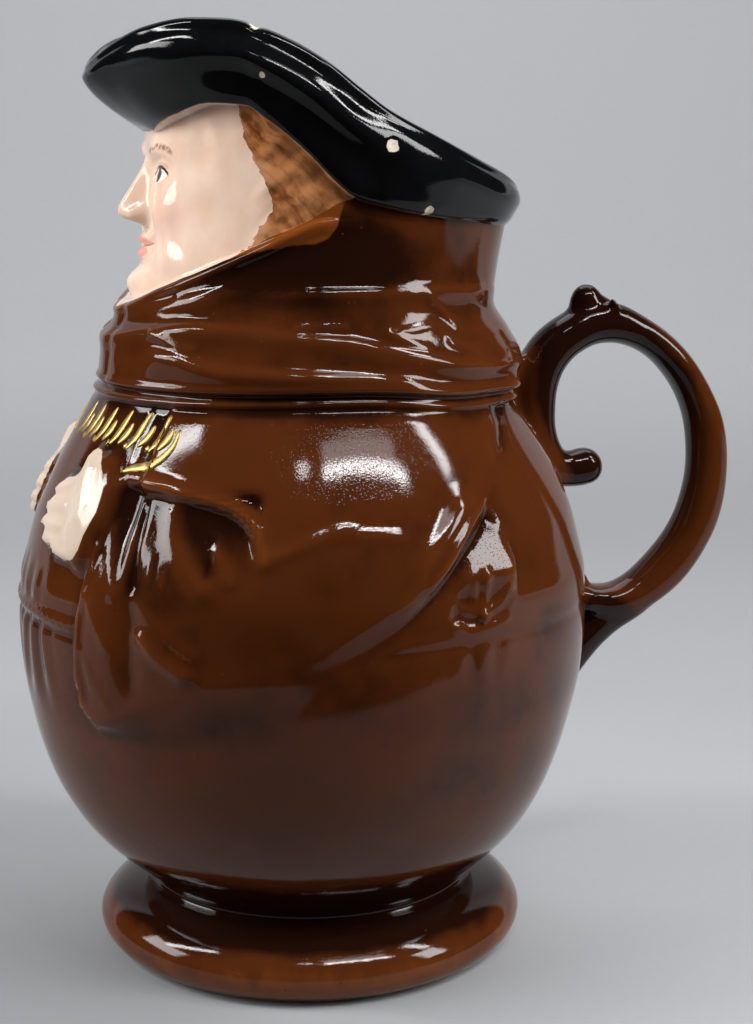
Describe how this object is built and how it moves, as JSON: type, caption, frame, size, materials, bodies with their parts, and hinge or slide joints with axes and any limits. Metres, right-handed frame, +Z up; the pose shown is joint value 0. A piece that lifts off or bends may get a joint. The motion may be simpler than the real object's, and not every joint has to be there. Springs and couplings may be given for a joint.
{
  "type": "figural water jug",
  "caption": "Glazed pottery water jug shaped as a stout robed friar, with the hat as an open pouring rim, a round foot and a loop handle behind.",
  "frame": {"origin": "centre of the bounding box at the level of the foot ring's underside", "axes": "+Z up, -Y the way the figure faces and the spout pours, +Y towards the loop handle, +X the figure's left"},
  "size_m": [0.1324, 0.169, 0.2068],
  "materials": {
    "glaze": "high gloss brown glaze with a black glazed hat and pale glazed face and hands"
  },
  "bodies": {
    "root": {"jug": "glaze"}
  },
  "joints": []
}
